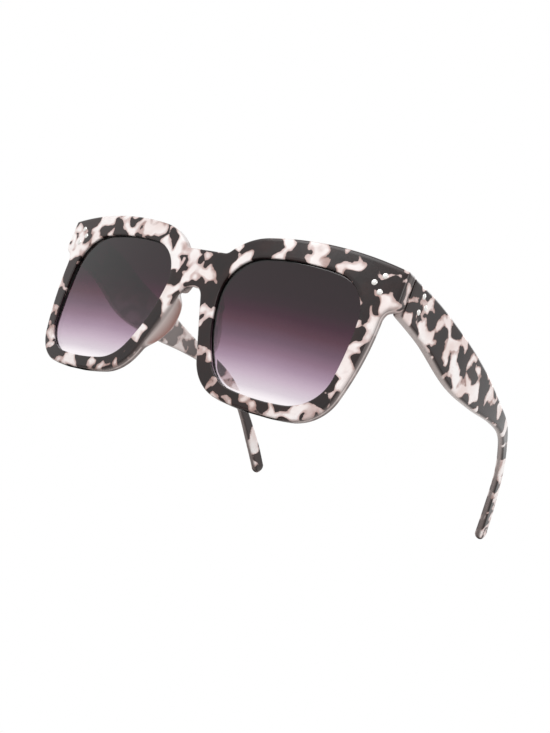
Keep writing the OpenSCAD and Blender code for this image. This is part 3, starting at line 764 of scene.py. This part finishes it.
def tortoise_plastic(name, blotch, jagged, cover, bleed, seed):
    """Injection-moulded cellulose acetate with a blotched film under its gloss: milky cream, charcoal
    blotches with crisp edges and a pink halo where the inks meet, and a hard polished skin that
    mirrors softly. The film thins out over the narrow sides and pads, which stay plain.
    blotch is the size of the blotches in mm, and jagged how ragged their edges are. It is dark where
    the noise is above cover, and pink from bleed below that. seed is a place in the noise."""
    material, tree, shader = new_material(name, IOR=1.47)
    coord = node(tree, "ShaderNodeTexCoord").outputs["Object"]
    place = node(tree, "ShaderNodeMapping", {0: coord}, {"Location": seed}).outputs[0]
    # Blotches of a real size: noise whose cells are this many mm, and finer noise for ragged edges
    big = node(tree, "ShaderNodeTexNoise", {0: place},
               {"Scale": 1 / (blotch * MM), "Detail": 1.0, "Roughness": 0.4, "Distortion": 0.45})
    rough = node(tree, "ShaderNodeTexNoise", {0: place},
                 {"Scale": 1 / (0.3 * blotch * MM), "Detail": 2.0, "Roughness": 0.6})
    lift = node(tree, "ShaderNodeMath", {0: rough.outputs[0]}, {1: jagged, 2: -0.5 * jagged},
                operation="MULTIPLY_ADD")
    field = node(tree, "ShaderNodeMath", {0: big.outputs[0], 1: lift.outputs[0]},
                 operation="ADD").outputs[0]
    dark = node(tree, "ShaderNodeMapRange", {0: field}, {1: cover, 2: cover + 0.018},
                interpolation_type="SMOOTHSTEP")
    halo = node(tree, "ShaderNodeMapRange", {0: field}, {1: cover - bleed, 2: cover + 0.006},
                interpolation_type="SMOOTHSTEP")
    # Cloudy cream base, whiter in the middle of each pale patch
    cloud = node(tree, "ShaderNodeTexNoise", {0: place},
                 {"Scale": 1 / (11 * MM), "Detail": 2.5, "Roughness": 0.5})
    cream = node(tree, "ShaderNodeValToRGB", {0: cloud.outputs[0]},
                 stops=[(0.36, "#fbf7f6"), (0.5, "#f5ebe9"), (0.64, "#ead9d5")])
    ink = node(tree, "ShaderNodeValToRGB", {0: cloud.outputs[0]},
               stops=[(0.42, "#d2bab6"), (0.6, "#a5847d")])
    pink = node(tree, "ShaderNodeMix", {0: halo.outputs[0], 6: cream.outputs[0], 7: ink.outputs[0]},
                data_type="RGBA")
    soot = node(tree, "ShaderNodeTexNoise", {0: place},
                {"Scale": 1 / (7 * MM), "Detail": 2.0, "Roughness": 0.5})
    charcoal = node(tree, "ShaderNodeValToRGB", {0: soot.outputs[0]},
                    stops=[(0.35, "#220a07"), (0.5, "#190504"), (0.65, "#120303")])
    film = node(tree, "ShaderNodeMix", {0: dark.outputs[0], 6: pink.outputs[2], 7: charcoal.outputs[0]},
                data_type="RGBA")
    # Plain colours under the thinned film, by tone: near black, grey brown, pale, pinkish brown
    wall = node(tree, "ShaderNodeAttribute", attribute_name="wall")
    tone = node(tree, "ShaderNodeAttribute", attribute_name="tone")
    # Near black paints the shade in the lens groove; lower tones also paint shade on the temples' inner
    # sides
    plain = node(tree, "ShaderNodeValToRGB", {0: tone.outputs["Fac"]},
                 stops=[(0.0, "#1d1416"), (0.35, "#6f6462"), (0.5, "#857a78"), (0.65, "#cbbfbc"),
                        (1.0, "#a57a71")])
    thin = node(tree, "ShaderNodeMath", {0: wall.outputs["Fac"]}, {1: 0.98}, operation="MULTIPLY")
    skin = node(tree, "ShaderNodeMix", {0: thin.outputs[0], 6: film.outputs[2], 7: plain.outputs[0]},
                data_type="RGBA")
    tree.links.new(skin.outputs[2], shader.inputs["Base Color"])
    # Faint unevenness left by moulding and polishing, about 2 mm across
    wave = node(tree, "ShaderNodeTexNoise", {0: coord}, {"Scale": 1 / (2.2 * MM), "Detail": 1.5})
    bump = node(tree, "ShaderNodeBump", {"Height": wave.outputs[0]},
                {"Strength": 0.05, "Distance": 0.2 * MM})
    tree.links.new(bump.outputs[0], shader.inputs["Normal"])
    haze = node(tree, "ShaderNodeMapRange", {0: wave.outputs[0]}, {3: 0.16, 4: 0.24})
    tree.links.new(haze.outputs[0], shader.inputs["Roughness"])
    return material


def graded_lens(name):
    """Dip-dyed polycarbonate lens: plum dye, dense at the top and fading to almost none at the
    bottom, between two polished faces. Each face takes half the dye."""
    material, tree, shader = new_material(name, Transmission_Weight=1.0, Roughness=0.0, IOR=1.5)
    coord = node(tree, "ShaderNodeTexCoord").outputs["Object"]
    split = node(tree, "ShaderNodeSeparateXYZ", {0: coord})
    # A slow wander of the dye line, about 24 mm long and 1.5 mm high
    wander = node(tree, "ShaderNodeTexNoise", {0: coord}, {"Scale": 1 / (24 * MM), "Detail": 1.0})
    shift = node(tree, "ShaderNodeMath", {0: wander.outputs[0], 2: split.outputs[2]}, {1: 1.5 * MM},
                 operation="MULTIPLY_ADD")
    height = node(tree, "ShaderNodeMapRange", {0: shift.outputs[0]}, {1: 4 * MM, 2: 52 * MM})
    tint = node(tree, "ShaderNodeValToRGB", {0: height.outputs[0]}, stops=[
        (0.05, "#faf3f7"), (0.10, "#dcd0da"), (0.18, "#c8b3c4"), (0.27, "#a4899f"), (0.35, "#86677c"),
        (0.43, "#684c5f"), (0.52, "#512b3d"), (0.60, "#380a26"), (0.68, "#260518"), (0.76, "#1d0310"),
        (1.0, "#170208")])
    tree.links.new(tint.outputs[0], shader.inputs["Base Color"])
    return material


def polished_steel(name, code, roughness, scratch):
    """Stainless steel for hinges and rivets: bright, with fine marks from rolling or tumbling.
    scratch is the size of the marks in mm, drawn coarser than they are so that they show."""
    material, tree, shader = new_material(name, Base_Color=linear(code), Metallic=1.0)
    coord = node(tree, "ShaderNodeTexCoord").outputs["Object"]
    grain = node(tree, "ShaderNodeTexNoise", {0: coord},
                 {"Scale": 1 / (scratch * MM), "Detail": 3.0, "Roughness": 0.6})
    tone = node(tree, "ShaderNodeMapRange", {0: grain.outputs[0]},
                {3: roughness - 0.05, 4: roughness + 0.08})
    tree.links.new(tone.outputs[0], shader.inputs["Roughness"])
    bump = node(tree, "ShaderNodeBump", {"Height": grain.outputs[0]},
                {"Strength": 0.08, "Distance": 0.03 * MM})
    tree.links.new(bump.outputs[0], shader.inputs["Normal"])
    return material


front_plastic = tortoise_plastic("moulded_tortoise_acetate_front", blotch=5.6, jagged=0.07,
                                 cover=0.480, bleed=0.11, seed=(0.0, -0.129, -0.061))
temple_plastic = tortoise_plastic("moulded_tortoise_acetate_temple", blotch=6.2, jagged=0.15,
                                  cover=0.495, bleed=0.08, seed=(0.129, 0.129, -0.027))
lens_plastic = graded_lens("dip_dyed_polycarbonate_lens")
hinge_steel = polished_steel("rolled_stainless_hinge", "#b9b6b2", 0.28, 0.5)
rivet_steel = polished_steel("tumbled_stainless_rivet", "#e6e4e1", 0.22, 0.7)


# The pieces, each on its body

shell = front_shell(front_plastic)
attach(shell, "front")
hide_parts("front_frame")

for word, side in (("left", 1), ("right", -1)):
    lens = lens_shell(word + "_tinted_lens", side, lens_plastic)
    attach(lens, "front")
    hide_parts(word + "_lens")
    temple = temple_shell(word + "_temple_bar", side, temple_plastic)
    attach(temple, word + "_arm")
    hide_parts(word + "_temple")
    for name, body, places in (("front_rivets", "front", front_rivet_places()),
                               ("temple_rivets", word + "_arm", temple_rivet_places())):
        rivets = rivet_group(word + "_" + name + "_domed", side, places, rivet_steel)
        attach(rivets, body)
        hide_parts(word + "_" + name)
    for name, body in (("front_hinge", "front"), ("temple_hinge", word + "_arm"), ("hinge_screw", "front")):
        hinge = metal_copy(word + "_" + name, word + "_" + name + "_finished", hinge_steel)
        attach(hinge, body)
        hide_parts(word + "_" + name)


# Floor, light and camera


def sees_background(tree):
    """1 for the rays that show the white background: straight, mirrored and through a lens."""
    ray = node(tree, "ShaderNodeLightPath")
    straight = node(tree, "ShaderNodeMath",
                    {0: ray.outputs["Is Camera Ray"], 1: ray.outputs["Is Transmission Ray"]},
                    operation="MAXIMUM")
    every = node(tree, "ShaderNodeMath", {0: straight.outputs[0], 1: ray.outputs["Is Glossy Ray"]},
                 operation="MAXIMUM")
    return every.outputs[0]


def pale_floor():
    """A wide disc that can be seen from above only, because the photo looks up from below it.
    Round the object it takes shade and shadow. Farther out it fades into the white background.
    Its radii are in metres."""
    corners, radii = 96, np.array([0.2, 0.6, 2.0])
    fade_start, fade_end = 0.2, 0.9
    turn = np.linspace(0, 2 * np.pi, corners, endpoint=False)
    verts = (radii[:, None, None] * np.stack([np.cos(turn), np.sin(turn), 0 * turn], -1)).reshape(-1, 3)
    faces = grid_faces(len(radii), corners, False, True).tolist() + [list(range(corners))]
    mesh = bpy.data.meshes.new("pale_floor")
    mesh.from_pydata(verts.tolist(), [], faces)
    mesh.update()
    for polygon in mesh.polygons:
        if polygon.normal.z < 0:
            polygon.flip()
    material, tree, shader = new_material("painted_studio_floor", Base_Color=linear("#e9e7e5"),
                                          Roughness=0.7)
    coord = node(tree, "ShaderNodeTexCoord").outputs["Object"]
    reach = node(tree, "ShaderNodeVectorMath", {0: coord}, operation="LENGTH")
    far = node(tree, "ShaderNodeMapRange", {0: reach.outputs["Value"]},
               {1: fade_start, 2: fade_end}, interpolation_type="SMOOTHSTEP")
    share = node(tree, "ShaderNodeMath", {0: far.outputs[0], 1: sees_background(tree)},
                 operation="MULTIPLY")
    white = node(tree, "ShaderNodeEmission", values={"Color": linear("#ffffff"), "Strength": 1.0})
    faded = node(tree, "ShaderNodeMixShader",
                 {0: share.outputs[0], 1: shader.outputs[0], 2: white.outputs[0]})
    facing = node(tree, "ShaderNodeNewGeometry")
    clear = node(tree, "ShaderNodeBsdfTransparent")
    mix = node(tree, "ShaderNodeMixShader",
               {0: facing.outputs["Backfacing"], 1: faded.outputs[0], 2: clear.outputs[0]})
    node(tree, "ShaderNodeOutputMaterial", {0: mix.outputs[0]}, is_active_output=True)
    mesh.materials.append(material)
    floor = bpy.data.objects.new("pale_floor", mesh)
    bpy.context.scene.collection.objects.link(floor)


def studio_light():
    """White surroundings where they are seen, straight, mirrored or through a lens, dimmer ones
    for shading, and three soft lamps."""
    world = bpy.data.worlds.new("studio")
    bpy.context.scene.world = world
    world.use_nodes = True
    tree = world.node_tree
    tree.nodes.clear()
    shading_level, white_level = 0.68, 1.0
    ambient = node(tree, "ShaderNodeBackground",
                   values={"Color": linear("#ffffff"), "Strength": shading_level})
    plain = node(tree, "ShaderNodeBackground",
                 values={"Color": linear("#ffffff"), "Strength": white_level})
    mix = node(tree, "ShaderNodeMixShader",
               {0: sees_background(tree), 1: ambient.outputs[0], 2: plain.outputs[0]})
    node(tree, "ShaderNodeOutputWorld", {0: mix.outputs[0]})
    # Places and sizes in metres, power in watts
    for name, place, size, power in (("key", (-0.25, -0.75, 0.55), 0.5, 2.25),
                                     ("fill", (0.85, -0.35, 0.35), 0.6, 2.0),
                                     ("back", (0.1, 0.8, 0.6), 0.6, 1.8)):
        lamp = bpy.data.lights.new(name, "AREA")
        lamp.shape = "DISK"
        lamp.size = size
        lamp.energy = power
        holder = bpy.data.objects.new(name, lamp)
        holder.location = place
        holder.rotation_euler = (Vector((0, 0, 0.03)) - Vector(place)).to_track_quat("-Z", "Y").to_euler()
        bpy.context.scene.collection.objects.link(holder)


def photo_camera():
    """The camera that was fitted to the photo: angles in degrees, distance and target in mm,
    focal length in pixels of a frame 733 pixels on its long side."""
    azimuth, elevation, roll = map(math.radians, (37.1, -10.7, 20.74))
    target, distance = Vector((35.9, FRONT_Y + 11.0, 17.8)), 370.68
    focal, long_side, sensor = 1161.72, 733, 36
    back = Vector((math.sin(azimuth) * math.cos(elevation), -math.cos(azimuth) * math.cos(elevation),
                   math.sin(elevation)))
    right = (-back).cross(Vector((0, 0, 1))).normalized()
    up = right.cross(-back)
    turned_right = math.cos(roll) * right + math.sin(roll) * up
    turned_up = -math.sin(roll) * right + math.cos(roll) * up
    data = bpy.data.cameras.new("photo_camera")
    data.sensor_width = sensor
    data.lens = focal * sensor / long_side
    data.clip_start = 0.01
    camera = bpy.data.objects.new("photo_camera", data)
    camera.matrix_world = Matrix((
        (turned_right.x, turned_up.x, back.x, 0), (turned_right.y, turned_up.y, back.y, 0),
        (turned_right.z, turned_up.z, back.z, 0), (0, 0, 0, 1)))
    camera.location = (target + distance * back) * MM
    bpy.context.scene.collection.objects.link(camera)
    bpy.context.scene.camera = camera


pale_floor()
studio_light()
photo_camera()
bpy.context.scene.view_settings.view_transform = "Standard"
